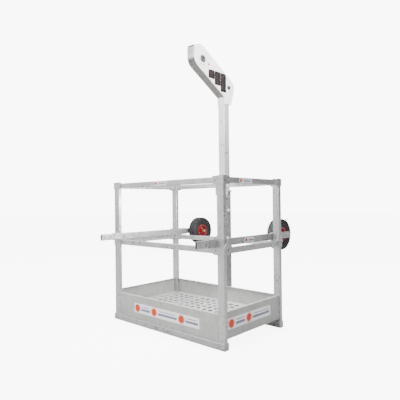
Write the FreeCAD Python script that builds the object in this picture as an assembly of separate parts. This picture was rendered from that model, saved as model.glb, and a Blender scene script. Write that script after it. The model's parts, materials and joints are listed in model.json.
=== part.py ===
"""Crane-lifted work basket: a galvanised cage with toe boards, a telescopic rear mast whose
head carries the lifting eye over the cage, and two wheeled bars that slide in holders.

Cage frame: X along the long side, -Y to the front, +Z up, ground at Z = 0, cage centre at
X = Y = 0. Every node is written moved along Y, so that the origin is the centre of the
whole object's footprint.
"""
import FreeCAD, Part
import math
import os
from FreeCAD import Vector

os.makedirs("parts", exist_ok=True)

# ---- Cage ------------------------------------------------------------------
cage_length = 1200.0  # over the posts, along X
cage_width = 700.0  # over the posts, along Y
cage_height = 1150.0  # ground to the top of the post caps

overrun = 1.0  # of a cutting shape past the face that it opens

base_rail_size = 50.0
base_rail_wall = 3.0
base_rail_corner = 6.0
end_plate_thickness = 3.0
base_hole_spacing = 124.0
base_hole_radius = 8.0
base_hole_height = 27.0

post_size_x = 60.0
post_size_y = 30.0
post_wall = 3.0
post_corner = 4.5
cap_thickness = 6.0
cap_plug_depth = 18.0
plug_clearance = 0.3

rail_depth = 30.0
rail_wall = 2.5
rail_corner = 4.0
top_rail_height = 40.0
top_rail_drop = 10.0  # below the top of the caps
mid_rail_height = 40.0
mid_rail_top = 670.0

board_thickness = 3.0
board_height = 180.0
board_lip = 18.0
front_board_recess = 2.0  # behind the posts' outer faces
front_board_gap = 2.0  # to the posts at each end
side_board_recess = 12.0
raised_board_base = 68.0  # lower edge of the left, right and rear boards

floor_top = 124.0
floor_thickness = 4.0
floor_clearance = 1.0
floor_hole_pitch = 65.0
floor_hole_radius = 20.0
floor_hole_margin = 17.0  # plate left around the field of holes
joist_width = 40.0
joist_wall = 3.0
joist_count = 5
joist_post_gap = 20.0

# ---- Corner brackets and lashing eyes --------------------------------------
bracket_thickness = 3.0
bracket_ear = 40.0
bracket_margin = 8.0
bracket_chamfer = 12.0
eye_thickness = 6.0
eye_width = 76.0
eye_rise = 57.0  # apex above the middle rail
eye_seat = 9.0  # lower edge below the top of the middle rail
eye_apex_width = 18.0
eye_apex_offset = 21.0  # from the post's middle towards the cage's middle
eye_hole_radius = 9.0
eye_hole_drop = 22.0

# ---- Fasteners ---------------------------------------------------------------
bolt_radius = 5.0
bolt_flats = 17.0
bolt_head = 6.4
bolt_reach = 8.0  # past the wall that it clamps
bolt_clearance = 0.3

# ---- Mast, sleeve and clamp screws -----------------------------------------
mast_size = 70.0
mast_wall = 4.0
mast_corner = 6.0
mast_bottom = 700.0
mast_slide_clearance = 1.0
sleeve_wall = 4.0
sleeve_top = 1078.0
foot_plate_thickness = 5.0
foot_plate_margin = 10.0
foot_plate_inset = 3.0  # its front edge inside the posts' rear faces
collar_thickness = 6.0
collar_height = 14.0
mount_plate_thickness = 3.0
mount_plate_reach = 30.0  # past the sleeve on each side
mount_bolt_inset = 14.0
mount_plate_overlap = 44.0  # of the upper plate and the sleeve
clamp_screw_heights = {"upper": 1023.0, "lower": 901.0}
screw_radius = 8.0
screw_running_clearance = 0.06
screw_tip_gap = 0.35
screw_head = 10.0
screw_flats = 24.0
screw_neck = 2.0  # between the nut and the head
nut_flats = 24.0
nut_height = 8.0

# ---- Head of the mast --------------------------------------------------------
head_bottom = 1833.0
head_strip_rise = 59.0  # from the plates' lower edge to where the arm leaves the mast
head_slope = 30.5  # degrees
head_arm_depth = 187.0
head_plate_thickness = 5.0
head_strip_thickness = 4.0
head_rear_overhang = 23.0  # of the plates' lower edge behind the mast
head_rear_reach = 82.0  # of the rear corner behind the mast
lifting_eye_y = 79.0
lifting_eye_offset = 85.0  # square to the arm, from its lower edge
lifting_eye_radius = 27.5
eye_tube_wall = 5.0
eye_ring_radius = 47.0
eye_ring_thickness = 6.0
nose_reach = 96.0  # in front of the lifting eye
nose_rise = 96.0  # of the nose's front corner above the eye
crown_rise = 114.0  # of the top edge above the eye
crown_reach = 40.0  # of the crown's front end in front of the eye
nose_radius = 80.0
nose_corner_radius = 30.0
foot_corner_radius = 12.0
crown_radius = 90.0
rear_radius = 75.0
strip_gap = 12.0  # open slot at each end of the front strip
head_pin_height = 1981.0
head_pin_offset = 20.0  # behind the mast's axis
head_pin_radius = 10.0
head_pin_flats = 30.0
head_pin_head = 12.5
head_pin_end = 4.0  # past its nut
mast_top_above_pin = 55.0

# ---- Wheeled bars --------------------------------------------------------------
bar_width = 20.0
bar_height = 50.0
bar_wall = 2.5
bar_corner = 3.0
bar_front_reach = 185.0  # in front of the posts
bar_tail = 30.0  # behind the axle
bar_cap_plug = 20.0
bar_lock_hole_radius = 6.0
bar_lock_hole_inset = 84.0
holder_wall = 4.0
holder_clearance = 0.5
holder_length = 91.0
holder_overlap = 24.0  # of the holder and the post, along Y
lock_screw_inset = 30.0  # from the front holder's rear end
lock_screw_flats = 17.0
lock_screw_head = 7.0
lock_screw_neck = 4.0  # between the holder and the head
lock_screw_gap = 0.4  # above the bar

# ---- Wheels -------------------------------------------------------------------
wheel_radius = 130.0
wheel_width = 85.0
wheel_post_gap = 75.0  # tyre to the posts' rear faces
wheel_bar_gap = 23.0
tyre_wall = 7.0
tyre_shoulder_inset = 9.0
tyre_shoulder_drop = 6.0
tyre_bead_clearance = 0.3
tyre_flange_gap = 1.0
tread_groove = 3.0
tread_groove_share = 0.6  # of the way from the middle to the shoulder
rim_seat_radius = 51.0
rim_flange_radius = 60.0
rim_sheet = 3.0
rim_half_width = 33.5
rim_disc_inset = 10.0
rim_bend = 5.0
rim_seat_drop = 2.0
rim_lip = 0.5
hub_radius = 16.0
hub_length = 80.0
hub_housing_radius = 21.0
hub_housing_inset = 2.0  # of the housing's ends inside the bush's
hub_running_clearance = 0.06
hub_side_clearance = 0.5
axle_radius = 10.0
axle_head_radius = 17.0
axle_head_height = 5.0
axle_flats = 30.0
axle_nut_height = 12.0
axle_washer = 3.0
axle_fit_clearance = 0.2
axle_end = 3.0  # past its nut
rim_bolt_circle = 30.0
rim_bolt_count = 4
rim_bolt_radius = 3.0
rim_bolt_flats = 10.0
rim_bolt_head = 4.0
rim_bolt_end = 2.0  # past its nut
rim_bolt_clearance = 0.2

# ---- Worked-out places -----------------------------------------------------------
half_length = cage_length / 2
half_width = cage_width / 2
post_x = half_length - post_size_x / 2
post_y = half_width - post_size_y / 2
post_inner_x = half_length - post_size_x
post_inner_y = half_width - post_size_y
post_top = cage_height - cap_thickness
top_rail_top = cage_height - top_rail_drop
top_rail_bottom = top_rail_top - top_rail_height
mid_rail_bottom = mid_rail_top - mid_rail_height
floor_bottom = floor_top - floor_thickness
front_board_y = half_width - front_board_recess
side_board_x = half_length - side_board_recess

sleeve_size = mast_size + 2 * (mast_slide_clearance + sleeve_wall)
sleeve_front = half_width + mount_plate_thickness
mount_half_width = sleeve_size / 2 + mount_plate_reach
mast_y = sleeve_front + sleeve_size / 2
mast_front = mast_y - mast_size / 2
mast_rear = mast_y + mast_size / 2
sleeve_bottom = base_rail_size + foot_plate_thickness

holder_half_width = bar_width / 2 + holder_clearance + holder_wall
holder_half_height = bar_height / 2 + holder_clearance + holder_wall
bar_x = post_inner_x - holder_half_width
bar_z = mid_rail_top + holder_half_height
bar_front = -half_width - bar_front_reach
wheel_y = half_width + wheel_post_gap + wheel_radius
bar_rear = wheel_y + bar_tail
wheel_x = bar_x - bar_width / 2 - wheel_bar_gap - wheel_width / 2

footprint_middle = (bar_front + wheel_y + wheel_radius) / 2
to_origin = Vector(0, -footprint_middle, 0)

AXIS = {"x": Vector(1, 0, 0), "y": Vector(0, 1, 0), "z": Vector(0, 0, 1)}
MIRROR_X = Vector(1, 0, 0)
MIRROR_Y = Vector(0, 1, 0)


# ---- Building helpers ---------------------------------------------------------------
def box(x0, x1, y0, y1, z0, z1):
    return Part.makeBox(x1 - x0, y1 - y0, z1 - z0, Vector(x0, y0, z0))


def solid_bar(axis, low, high, radius):
    """Box between two corners, its four edges along the axis rounded."""
    shape = box(low[0], high[0], low[1], high[1], low[2], high[2])
    if radius <= 0:
        return shape
    along = []
    for edge in shape.Edges:
        direction = edge.Vertexes[1].Point - edge.Vertexes[0].Point
        if abs(direction.dot(AXIS[axis])) > 0.5 * direction.Length:
            along.append(edge)
    return shape.makeFillet(radius, along)


def hollow_bar(axis, low, high, wall, radius):
    """Rectangular tube along an axis, open at both ends."""
    outer = solid_bar(axis, low, high, radius)
    low_in, high_in = list(low), list(high)
    for index, name in enumerate("xyz"):
        margin = -overrun if name == axis else wall
        low_in[index] += margin
        high_in[index] -= margin
    return outer.cut(solid_bar(axis, low_in, high_in, radius - wall))


def cylinder(axis, centre, start, end, radius):
    """Cylinder along an axis, from start to end on it, through a centre point."""
    base = Vector(centre)
    base = base - AXIS[axis] * base.dot(AXIS[axis]) + AXIS[axis] * start
    return Part.makeCylinder(radius, end - start, base, AXIS[axis])


def ring(axis, centre, start, end, outer, inner):
    return cylinder(axis, centre, start, end, outer).cut(cylinder(axis, centre, start, end, inner))


def prism(points, direction):
    """Closed outline of points, extruded along a vector."""
    wire = Part.makePolygon(points + [points[0]])
    return Part.Face(wire).extrude(direction)


def hexagon(axis, centre, start, end, flats):
    """Hexagonal bar along an axis."""
    corner = flats / math.sqrt(3)
    side, up = {"x": ("y", "z"), "y": ("x", "z"), "z": ("x", "y")}[axis]
    base = Vector(centre)
    base = base - AXIS[axis] * base.dot(AXIS[axis]) + AXIS[axis] * start
    points = []
    for step in range(6):
        angle = math.radians(60 * step)
        offset = AXIS[side] * (corner * math.cos(angle)) + AXIS[up] * (corner * math.sin(angle))
        points.append(base + offset)
    return prism(points, AXIS[axis] * (end - start))


def rounded_outline(points, radii):
    """Closed outline in the YZ plane; a radius of 0 keeps its corner sharp."""
    count = len(points)
    edges = []
    previous_end = None
    first_start = None
    for index in range(count):
        here = points[index]
        before = (points[index - 1] - here).normalize()
        after = (points[(index + 1) % count] - here).normalize()
        if radii[index] > 0:
            half = math.acos(max(-1.0, min(1.0, before.dot(after)))) / 2
            reach = radii[index] / math.tan(half)
            bisector = (before + after).normalize()
            start = here + before * reach
            end = here + after * reach
            centre = here + bisector * (radii[index] / math.sin(half))
            middle = centre - bisector * radii[index]
        else:
            start = end = here
        if previous_end is None:
            first_start = start
        else:
            edges.append(Part.LineSegment(previous_end, start).toShape())
        if radii[index] > 0:
            edges.append(Part.Arc(start, middle, end).toShape())
        previous_end = end
    edges.append(Part.LineSegment(previous_end, first_start).toShape())
    return Part.Wire(edges)


def mirrored(shape, *normals):
    """The shape and its mirror images in the planes through the cage's centre."""
    shapes = [shape]
    for normal in normals:
        shapes += [each.mirror(Vector(0, 0, 0), normal) for each in shapes]
    return shapes


def write(node, *shapes):
    """Writes one node, moved to the origin, as one solid or a group of separate solids."""
    solids = [solid for shape in shapes for solid in shape.Solids]
    body = solids[0] if len(solids) == 1 else Part.makeCompound(solids)
    moved = body.copy()
    moved.translate(to_origin)
    moved.exportStep("parts/" + node + ".step")


def bolt_holes(axis, places, radius, start, end):
    cutters = [cylinder(axis, place, start, end, radius) for place in places]
    return Part.makeCompound(cutters)


# ---- Base rails ------------------------------------------------------------------
def base_rails():
    middle_y = post_y
    rail_end = half_length - end_plate_thickness
    half = base_rail_size / 2
    low = (-rail_end, -middle_y - half, 0)
    high = (rail_end, -middle_y + half, base_rail_size)
    rail = hollow_bar("x", low, high, base_rail_wall, base_rail_corner)
    places = [Vector(side * base_hole_spacing / 2, 0, base_hole_height) for side in (-1, 1)]
    holes = bolt_holes("y", places, base_hole_radius,
                       -middle_y - half - overrun, -middle_y + half + overrun)
    write("base_rail_front", rail.cut(holes))
    write("base_rail_rear", mirrored(rail, MIRROR_Y)[1])
    plate_low = (rail_end, -middle_y - half, 0)
    plate_high = (half_length, -middle_y + half, base_rail_size)
    plate = solid_bar("x", plate_low, plate_high, base_rail_corner)
    write("base_rail_end_plates", *mirrored(plate, MIRROR_X, MIRROR_Y))


# ---- Posts -----------------------------------------------------------------------
def posts():
    for end, side_y in (("front", -1), ("rear", 1)):
        for side, side_x in (("left", -1), ("right", 1)):
            x, y = side_x * post_x, side_y * post_y
            low = (x - post_size_x / 2, y - post_size_y / 2, base_rail_size)
            high = (x + post_size_x / 2, y + post_size_y / 2, post_top)
            write("post_" + end + "_" + side, hollow_bar("z", low, high, post_wall, post_corner))
    low = (post_inner_x, post_inner_y, post_top)
    high = (half_length, half_width, cage_height)
    flange = solid_bar("z", low, high, post_corner)
    inset = post_wall + plug_clearance
    low = (post_inner_x + inset, post_inner_y + inset, post_top - cap_plug_depth)
    high = (half_length - inset, half_width - inset, post_top)
    plug = solid_bar("z", low, high, post_corner - post_wall)
    write("post_caps", *mirrored(flange.fuse(plug).removeSplitter(), MIRROR_X, MIRROR_Y))


# ---- Rails and corner brackets ------------------------------------------------------
def bracket_bolt_places(rail_bottom, rail_top):
    """Centres of the front and the side bolt of the bracket at the front right post."""
    height = (rail_bottom + rail_top) / 2
    front = Vector(post_inner_x - bracket_ear / 2, 0, height)
    side = Vector(0, -post_inner_y + bracket_ear / 2, height)
    return front, side


def rail_set(name, rail_bottom, rail_top):
    """Four rails between the posts, drilled for the bracket bolts."""
    front_place, side_place = bracket_bolt_places(rail_bottom, rail_top)
    radius = bolt_radius + bolt_clearance
    low = (-post_inner_x, -half_width, rail_bottom)
    high = (post_inner_x, -half_width + rail_depth, rail_top)
    front = hollow_bar("x", low, high, rail_wall, rail_corner)
    drill = cylinder("y", front_place, -half_width - overrun, -half_width + rail_depth / 2, radius)
    front = front.cut(Part.makeCompound(mirrored(drill, MIRROR_X)))
    rear = mirrored(front, MIRROR_Y)[1]
    plate_bolts = mount_bolt_places((rail_bottom + rail_top) / 2)
    start, end = half_width - rail_depth / 2, half_width + overrun
    rear = rear.cut(bolt_holes("y", plate_bolts, radius, start, end))
    low = (half_length - rail_depth, -post_inner_y, rail_bottom)
    high = (half_length, post_inner_y, rail_top)
    right = hollow_bar("y", low, high, rail_wall, rail_corner)
    drill = cylinder("x", side_place, half_length - rail_depth / 2, half_length + overrun, radius)
    right = right.cut(Part.makeCompound(mirrored(drill, MIRROR_Y)))
    write(name + "_rail_front", front)
    write(name + "_rail_rear", rear)
    write(name + "_rail_right", right)
    write(name + "_rail_left", mirrored(right, MIRROR_X)[1])


def ear_outline(far, near, bottom, top):
    """Corners of a bracket wing, its far end chamfered: pairs of distance and height."""
    inward = bracket_chamfer if near > far else -bracket_chamfer
    return [(near, bottom), (near, top), (far + inward, top), (far, top - bracket_chamfer),
            (far, bottom + bracket_chamfer), (far + inward, bottom)]


def corner_bracket(rail_bottom, rail_top):
    """Angle bracket around the outer corner of the front right post."""
    bottom = rail_bottom - bracket_margin
    top = rail_top + bracket_margin
    outer_x = half_length + bracket_thickness
    outer_y = -half_width - bracket_thickness
    front_ear = post_inner_x - bracket_ear
    side_ear = -post_inner_y + bracket_ear
    front_points = [Vector(x, outer_y, z) for x, z in ear_outline(front_ear, outer_x, bottom, top)]
    side_points = [Vector(half_length, y, z) for y, z in ear_outline(side_ear, outer_y, bottom, top)]
    front_wing = prism(front_points, Vector(0, bracket_thickness, 0))
    side_wing = prism(side_points, Vector(bracket_thickness, 0, 0))
    bracket = front_wing.fuse(side_wing).removeSplitter()
    front_place, side_place = bracket_bolt_places(rail_bottom, rail_top)
    radius = bolt_radius + bolt_clearance
    front_drill = cylinder("y", front_place, outer_y - overrun, -half_width + overrun, radius)
    side_drill = cylinder("x", side_place, half_length - overrun, outer_x + overrun, radius)
    return bracket.cut(Part.makeCompound([front_drill, side_drill]))


def bracket_bolts(rail_bottom, rail_top):
    front_place, side_place = bracket_bolt_places(rail_bottom, rail_top)
    reach = rail_wall + bolt_reach
    face_y = -half_width - bracket_thickness
    face_x = half_length + bracket_thickness
    front = hexagon("y", front_place, face_y - bolt_head, face_y, bolt_flats)
    front = front.fuse(cylinder("y", front_place, face_y, -half_width + reach, bolt_radius))
    side = hexagon("x", side_place, face_x, face_x + bolt_head, bolt_flats)
    side = side.fuse(cylinder("x", side_place, half_length - reach, face_x, bolt_radius))
    return mirrored(front, MIRROR_X, MIRROR_Y) + mirrored(side, MIRROR_X, MIRROR_Y)


def lashing_eye():
    """Triangular eye plate on the outer side of the front right post."""
    middle = -post_y + eye_apex_offset
    low_z = mid_rail_top - eye_seat
    shoulder_z = mid_rail_top + bracket_margin
    apex_z = mid_rail_top + eye_rise
    front = -half_width - bracket_thickness
    rear = front + eye_width
    face = half_length + bracket_thickness
    profile = [(front, low_z), (front, shoulder_z), (middle - eye_apex_width / 2, apex_z),
               (middle + eye_apex_width / 2, apex_z), (rear, shoulder_z), (rear, low_z)]
    points = [Vector(face, y, z) for y, z in profile]
    corner = eye_apex_width / 3
    outline = rounded_outline(points, [0, corner, corner, corner, corner, 0])
    plate = Part.Face(outline).extrude(Vector(eye_thickness, 0, 0))
    place = Vector(0, middle, apex_z - eye_hole_drop)
    start, end = face - overrun, face + eye_thickness + overrun
    hole = cylinder("x", place, start, end, eye_hole_radius)
    return plate.cut(hole)


def rails_and_brackets():
    rail_set("top", top_rail_bottom, top_rail_top)
    rail_set("mid", mid_rail_bottom, mid_rail_top)
    top = corner_bracket(top_rail_bottom, top_rail_top)
    write("top_corner_brackets", *mirrored(top, MIRROR_X, MIRROR_Y))
    room = bracket_margin  # the bar holder passes over the front wing's ear
    holder_space = box(bar_x - holder_half_width - room, post_inner_x, -half_width - holder_length,
                       -half_width + overrun, mid_rail_top, mid_rail_top + room + overrun)
    middle = corner_bracket(mid_rail_bottom, mid_rail_top).cut(holder_space)
    write("mid_corner_brackets", *mirrored(middle, MIRROR_X, MIRROR_Y))
    write("lashing_eyes", *mirrored(lashing_eye(), MIRROR_X, MIRROR_Y))
    bolts = bracket_bolts(top_rail_bottom, top_rail_top)
    bolts += bracket_bolts(mid_rail_bottom, mid_rail_top)
    write("corner_bracket_bolts", *bolts)


# ---- Toe boards and floor --------------------------------------------------------------
def board_y(bottom, half_span, outer):
    """Board along X on the front side, with a folded lip on its upper edge."""
    sheet = box(-half_span, half_span, -outer, -outer + board_thickness, bottom, bottom + board_height)
    top = bottom + board_height
    lip = box(-half_span, half_span, -outer, -outer + board_lip, top - board_thickness, top)
    return sheet.fuse(lip).removeSplitter()


def toe_boards():
    half_span = post_inner_x - front_board_gap
    front = board_y(base_rail_size, half_span, front_board_y)
    rear = board_y(raised_board_base, half_span, front_board_y)
    write("toe_board_front", front)
    write("toe_board_rear", mirrored(rear, MIRROR_Y)[1])
    top = raised_board_base + board_height
    sheet = box(side_board_x - board_thickness, side_board_x, -post_inner_y, post_inner_y,
                raised_board_base, top)
    lip = box(side_board_x - board_lip, side_board_x, -post_inner_y, post_inner_y,
              top - board_thickness, top)
    right = sheet.fuse(lip).removeSplitter()
    write("toe_board_right", right)
    write("toe_board_left", mirrored(right, MIRROR_X)[1])


def hole_row(half_span):
    """Places along one axis of the floor's holes, centred, one pitch apart."""
    count = int(2 * (half_span - floor_hole_margin - floor_hole_radius) // floor_hole_pitch) + 1
    first = -floor_hole_pitch * (count - 1) / 2
    return [first + floor_hole_pitch * step for step in range(count)]


def floor():
    edge_x = side_board_x - board_thickness - floor_clearance
    edge_y = front_board_y - board_thickness - floor_clearance
    notch_x = post_inner_x - front_board_gap - floor_clearance
    notch_y = post_inner_y - floor_clearance
    quarter = [(edge_x, notch_y), (notch_x, notch_y), (notch_x, edge_y)]
    corners = quarter + [(-x, y) for x, y in reversed(quarter)]
    corners += [(-x, -y) for x, y in corners]
    outline = Part.makePolygon([Vector(x, y, floor_bottom) for x, y in corners + corners[:1]])
    wires = [outline]
    for x in hole_row(notch_x):
        for y in hole_row(notch_y):
            circle = Part.Circle(Vector(x, y, floor_bottom), AXIS["z"], floor_hole_radius)
            wires.append(Part.Wire(circle.toShape()))
    face = Part.makeFace(wires, "Part::FaceMakerBullseye")
    write("floor_plate", face.extrude(Vector(0, 0, floor_thickness)))
    outermost = post_inner_x - joist_post_gap - joist_width / 2
    reach = front_board_y - board_thickness
    joists = []
    for index in range(joist_count):
        x = -outermost + 2 * outermost * index / (joist_count - 1)
        low = (x - joist_width / 2, -reach, base_rail_size)
        high = (x + joist_width / 2, reach, floor_bottom)
        joists.append(hollow_bar("y", low, high, joist_wall, rail_corner))
    write("floor_joists", *joists)


# ---- Mast sleeve and clamp screws --------------------------------------------------------
def mount_bolt_places(height):
    reach = mount_half_width - mount_bolt_inset
    return [Vector(side * reach, 0, height) for side in (-1, 1)]


def mount_plate(bottom, top, bolt_height):
    plate = box(-mount_half_width, mount_half_width, half_width, sleeve_front, bottom, top)
    radius = bolt_radius + bolt_clearance
    places = mount_bolt_places(bolt_height)
    return plate.cut(bolt_holes("y", places, radius, half_width - overrun, sleeve_front + overrun))


def mount_bolt(place):
    reach = rail_wall + bolt_reach
    head = hexagon("y", place, sleeve_front, sleeve_front + bolt_head, bolt_flats)
    return head.fuse(cylinder("y", place, half_width - reach, sleeve_front, bolt_radius))


def square_at_mast(half, bottom, top):
    return (-half, mast_y - half, bottom), (half, mast_y + half, top)


def sleeve():
    half = sleeve_size / 2
    low, high = square_at_mast(half, sleeve_bottom, sleeve_top)
    tube = hollow_bar("z", low, high, sleeve_wall, mast_corner)
    hole_radius = screw_radius + bolt_clearance
    nuts = []
    for height in clamp_screw_heights.values():
        place = Vector(0, mast_y, height)
        tube = tube.cut(cylinder("x", place, mast_size / 2, half + overrun, hole_radius))
        nut = hexagon("x", place, half, half + nut_height, nut_flats)
        bore = screw_radius + screw_running_clearance
        start, end = half - overrun, half + nut_height + overrun
        nuts.append(nut.cut(cylinder("x", place, start, end, bore)))
    write("mast_sleeve", tube)
    write("clamp_nuts", *nuts)

    low, high = square_at_mast(half + collar_thickness, sleeve_top - collar_height, sleeve_top)
    collar = solid_bar("z", low, high, mast_corner)
    low, high = square_at_mast(half, sleeve_bottom, sleeve_top + overrun)
    collar = collar.cut(solid_bar("z", low, high, mast_corner))
    in_front = box(-sleeve_size, sleeve_size, 0, sleeve_front, sleeve_bottom, sleeve_top + overrun)
    write("sleeve_collar", collar.cut(in_front))

    edge = half + foot_plate_margin
    foot_front = half_width - foot_plate_inset
    foot = box(-edge, edge, foot_front, mast_y + edge, base_rail_size, sleeve_bottom)
    write("sleeve_foot_plate", foot)

    top_bolt = (top_rail_bottom + top_rail_top) / 2
    mid_bolt = (mid_rail_bottom + mid_rail_top) / 2
    upper = mount_plate(sleeve_top - mount_plate_overlap, top_rail_top, top_bolt)
    lower = mount_plate(mid_rail_bottom - bracket_margin, mid_rail_top + bracket_margin, mid_bolt)
    write("sleeve_mounting_plates", upper, lower)
    places = mount_bolt_places(top_bolt) + mount_bolt_places(mid_bolt)
    write("sleeve_bolts", *[mount_bolt(place) for place in places])


def clamp_screws():
    start = mast_size / 2 + screw_tip_gap
    head_start = sleeve_size / 2 + nut_height + screw_neck
    for name, height in clamp_screw_heights.items():
        place = Vector(0, mast_y, height)
        shank = cylinder("x", place, start, head_start, screw_radius)
        head = hexagon("x", place, head_start, head_start + screw_head, screw_flats)
        write("clamp_screw_" + name, shank.fuse(head))


# ---- Mast and its head ------------------------------------------------------------------
def head_points():
    """Corners of the head's side plate, from the mast's front face round by the nose."""
    slope = math.radians(head_slope)
    rise = math.tan(slope)
    start_z = head_bottom + head_strip_rise
    top_shift = head_arm_depth / math.cos(slope)

    def lower_edge(y):
        return start_z + (mast_front - y) * rise

    eye_z = lower_edge(lifting_eye_y) + lifting_eye_offset / math.cos(slope)
    nose_y = lifting_eye_y - nose_reach
    crown_z = eye_z + crown_rise
    crown_rear_y = mast_front - (crown_z - top_shift - start_z) / rise
    rear_y = mast_rear + head_rear_reach
    profile = [(mast_front, head_bottom), (mast_front, start_z), (nose_y, lower_edge(nose_y)),
               (nose_y, eye_z + nose_rise), (lifting_eye_y - crown_reach, crown_z),
               (crown_rear_y, crown_z), (rear_y, lower_edge(rear_y) + top_shift),
               (mast_rear + head_rear_overhang, head_bottom)]
    return [Vector(0, y, z) for y, z in profile], eye_z


def mast_and_head():
    points, eye_z = head_points()
    radii = [0, 0, nose_radius, 0, nose_corner_radius, crown_radius, rear_radius,
             foot_corner_radius]
    outline = Part.Face(rounded_outline(points, radii))
    half = mast_size / 2
    plate_outer = half + head_plate_thickness
    ring_outer = plate_outer + eye_ring_thickness
    eye_place = Vector(0, lifting_eye_y, eye_z)
    pin_place = Vector(0, mast_y + head_pin_offset, head_pin_height)
    pin_hole = head_pin_radius + bolt_clearance
    tube_radius = lifting_eye_radius + eye_tube_wall
    start, end = half - overrun, plate_outer + overrun

    plate = outline.extrude(Vector(head_plate_thickness, 0, 0))
    plate.translate(Vector(half, 0, 0))
    plate = plate.cut(cylinder("x", eye_place, start, end, tube_radius))
    plate = plate.cut(cylinder("x", pin_place, start, end, pin_hole))
    write("head_plate_right", plate)
    write("head_plate_left", mirrored(plate, MIRROR_X)[1])

    eye_tube = ring("x", eye_place, -ring_outer, ring_outer, tube_radius, lifting_eye_radius)
    write("lifting_eye_tube", eye_tube)
    eye_ring = ring("x", eye_place, plate_outer, ring_outer, eye_ring_radius, tube_radius)
    write("lifting_eye_rings", *mirrored(eye_ring, MIRROR_X))

    inner = outline.makeOffset2D(-head_strip_thickness)
    band = outline.cut(inner).extrude(Vector(mast_size, 0, 0))
    band.translate(Vector(-half, 0, 0))
    nose_corner = points[3]
    split_low = nose_corner.z - strip_gap
    far = 2 * cage_width
    zone_low = head_bottom - overrun
    sweep = Vector(mast_size + 2 * overrun, 0, 0)
    front_zone = [(-far, split_low), (lifting_eye_y, split_low),
                  (mast_front - strip_gap, points[1].z + head_arm_depth / 2),
                  (mast_front - strip_gap, zone_low), (-far, zone_low)]
    top_zone = [(-far, nose_corner.z), (lifting_eye_y, nose_corner.z),
                (mast_rear + overrun, points[1].z), (mast_rear + overrun, zone_low),
                (far, zone_low), (far, nose_corner.z + far), (-far, nose_corner.z + far)]
    for node, zone in (("head_front_strip", front_zone), ("head_top_strip", top_zone)):
        region = prism([Vector(-half - overrun, y, z) for y, z in zone], sweep)
        write(node, band.common(region))

    low, high = square_at_mast(half, mast_bottom, head_pin_height + mast_top_above_pin)
    tube = hollow_bar("z", low, high, mast_wall, mast_corner)
    bore = cylinder("x", pin_place, -half - overrun, half + overrun, pin_hole)
    write("mast_tube", tube.cut(bore))

    shank_start = -plate_outer - head_pin_head - head_pin_end
    shank = cylinder("x", pin_place, shank_start, plate_outer, head_pin_radius)
    head = hexagon("x", pin_place, plate_outer, plate_outer + head_pin_head, head_pin_flats)
    nut = hexagon("x", pin_place, -plate_outer - head_pin_head, -plate_outer, head_pin_flats)
    nut = nut.cut(cylinder("x", pin_place, shank_start, 0, head_pin_radius))
    write("head_pin", shank.fuse(head), nut)


# ---- Wheeled bars -------------------------------------------------------------------------
def bar_box(side, grow, start, end):
    """Low and high corners around one bar, grown square to its length."""
    x = side * bar_x
    low = (x - bar_width / 2 - grow, start, bar_z - bar_height / 2 - grow)
    high = (x + bar_width / 2 + grow, end, bar_z + bar_height / 2 + grow)
    return low, high


def bar_holders():
    holders = []
    start = -half_width - holder_length + holder_overlap
    for side in (-1, 1):
        low, high = bar_box(side, holder_clearance + holder_wall, start, start + holder_length)
        holder = hollow_bar("y", low, high, holder_wall, bar_corner + holder_wall)
        holders.append(holder)
    write("bar_holders_rear", *[mirrored(each, MIRROR_Y)[1] for each in holders])
    bore = bolt_radius + bolt_clearance
    drills = [cylinder("z", holder_lock_place(side), bar_z, bar_z + 2 * holder_half_height, bore)
              for side in (-1, 1)]
    write("bar_holders_front", *[holder.cut(drill) for holder, drill in zip(holders, drills)])


def holder_lock_place(side):
    """Middle of the lock screw on top of one front holder."""
    return Vector(side * bar_x, -half_width + holder_overlap - lock_screw_inset, 0)


def holder_lock_screws():
    holder_top = bar_z + holder_half_height
    tip = bar_z + bar_height / 2 + lock_screw_gap
    neck = holder_top + lock_screw_neck
    screws = []
    for side in (-1, 1):
        place = holder_lock_place(side)
        shank = cylinder("z", place, tip, neck, bolt_radius)
        screws.append(shank.fuse(hexagon("z", place, neck, neck + lock_screw_head, lock_screw_flats)))
    write("holder_lock_screws", *screws)


def bars():
    for name, side in (("left", -1), ("right", 1)):
        low, high = bar_box(side, 0, bar_front, bar_rear)
        tube = hollow_bar("y", low, high, bar_wall, bar_corner)
        low, high = bar_box(side, 0, bar_rear - bar_wall, bar_rear)
        tube = tube.fuse(solid_bar("y", low, high, bar_corner)).removeSplitter()
        inner, outer = bar_x - bar_width / 2, bar_x + bar_width / 2
        holes = []
        lock_y = bar_front + bar_lock_hole_inset
        for y, radius in ((wheel_y, axle_radius + axle_fit_clearance), (lock_y, bar_lock_hole_radius)):
            span = sorted((side * (inner - overrun), side * (outer + overrun)))
            holes.append(cylinder("x", Vector(0, y, bar_z), span[0], span[1], radius))
        write("bar_" + name, tube.cut(Part.makeCompound(holes)))
        low, high = bar_box(side, -bar_wall, bar_front, bar_front + bar_cap_plug)
        write("bar_cap_" + name, solid_bar("y", low, high, bar_corner - bar_wall))


# ---- Wheels --------------------------------------------------------------------------------
def revolved(profile_face):
    """Turns an outline in the XY plane, held as distance along and from the axle, about X."""
    return profile_face.revolve(Vector(0, 0, 0), AXIS["x"], 360)


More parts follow.
